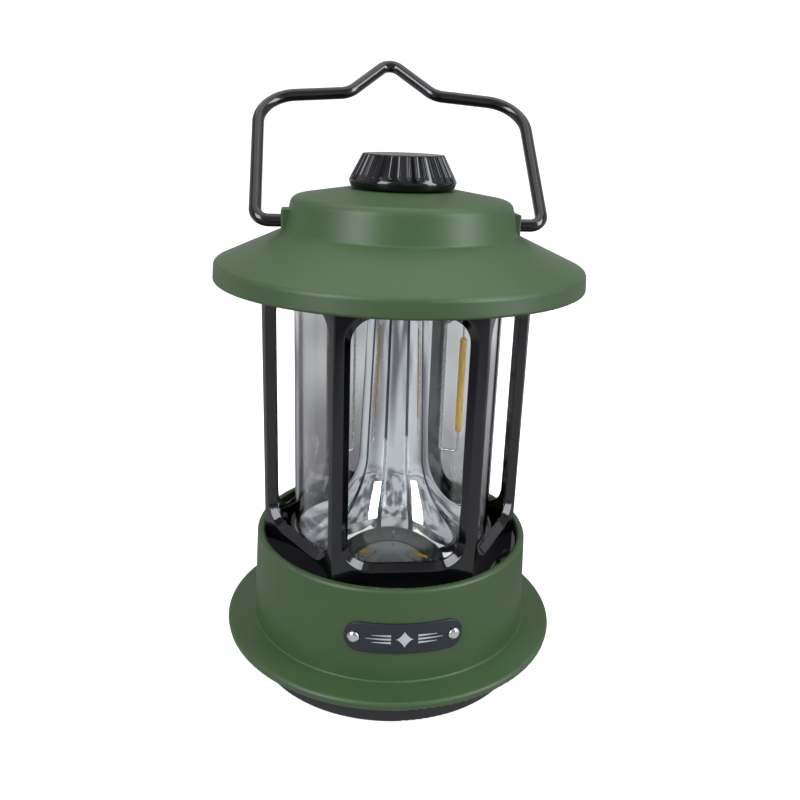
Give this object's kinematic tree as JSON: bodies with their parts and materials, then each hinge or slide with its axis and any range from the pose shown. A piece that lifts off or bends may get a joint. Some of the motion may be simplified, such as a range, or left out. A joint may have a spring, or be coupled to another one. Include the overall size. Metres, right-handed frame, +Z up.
{
  "type": "camping lantern",
  "caption": "Rechargeable camping lantern: green hat roof and cup base, black six-sided cage, clear tube, chrome trumpet reflector, LED filaments, fluted dimmer knob, wire bail.",
  "frame": {"origin": "centre of the foot, on the plane it stands on", "axes": "+Z up along the lamp's axis, -Y towards the nameplate, +X to the right seen from the front"},
  "size_m": [0.1236, 0.1236, 0.213],
  "materials": {
    "green_shell": "satin, finely spark-eroded green ABS",
    "black_gloss": "high-gloss black ABS",
    "black_matte": "fine matte black ABS",
    "black_rubber": "soft matte",
    "black_enamel": "gloss black powder coat on steel wire",
    "plate_black": "satin dark enamel",
    "rivet_steel": "polished domes",
    "screw_steel": "zinc plated",
    "clear_acrylic": "clear polished",
    "chrome_plate": "vacuum-metallised mirror",
    "silicone_clear": "translucent silicone",
    "phosphor": "yellow phosphor silicone",
    "lead_steel": "bare bright wire",
    "board_white": "white solder mask",
    "board_green": "green solder mask",
    "cell_sleeve": "shrink sleeve",
    "nickel_strip": "nickel plated",
    "wire_red": "silicone insulation",
    "wire_black": "silicone insulation",
    "liner_black": "matte black ABS",
    "dimmer_metal": "nickel plated"
  },
  "bodies": {
    "lantern": {"foot_ring": "black_rubber", "base_plate": "black_matte", "base_screws": "screw_steel", "base_shell": "green_shell", "nameplate": "plate_black", "nameplate_rivets": "rivet_steel", "usb_socket": "screw_steel", "charge_board": "board_green", "board_screws": "screw_steel", "battery_tray": "black_matte", "battery_cell_front": "cell_sleeve", "battery_cell_back": "cell_sleeve", "battery_contacts": "nickel_strip", "battery_leads": "wire_red", "deck_plate": "black_gloss", "deck_screws": "screw_steel", "cage": "black_gloss", "cage_screws": "screw_steel", "lower_seal": "silicone_clear", "upper_seal": "silicone_clear", "clear_tube": "clear_acrylic", "reflector": "chrome_plate", "filament_1": "phosphor", "filament_2": "phosphor", "filament_3": "phosphor", "filament_leads_1": "lead_steel", "filament_leads_2": "lead_steel", "filament_leads_3": "lead_steel", "lamp_board": "board_white", "lamp_board_screws": "screw_steel", "feed_wire_red": "wire_red", "feed_wire_black": "wire_black", "lamp_wires": "wire_black", "roof_liner": "liner_black", "liner_screws": "screw_steel", "roof_screws": "screw_steel", "roof": "green_shell", "dimmer_body": "dimmer_metal", "dimmer_washer": "dimmer_metal", "dimmer_nut": "dimmer_metal"},
    "handle": {"handle": "black_enamel", "handle_clips": "screw_steel"},
    "knob": {"knob": "black_gloss", "dimmer_shaft": "dimmer_metal"},
    "port_flap": {"port_cover": "black_rubber"}
  },
  "joints": [
    {"name": "handle_hinge", "type": "hinge", "parent": "lantern", "child": "handle", "pos_m": [0, 0, 0.16], "axis": [1, 0, 0], "range_deg": [-49, 142]},
    {"name": "knob_turn", "type": "hinge", "parent": "lantern", "child": "knob", "pos_m": [0, 0, 0.1765], "axis": [0, 0, -1], "range_deg": [0, 290]},
    {"name": "port_flap_hinge", "type": "hinge", "parent": "lantern", "child": "port_flap", "pos_m": [0, 0.0477, 0.0254], "axis": [-1, 0, 0], "range_deg": [0, 95]}
  ]
}
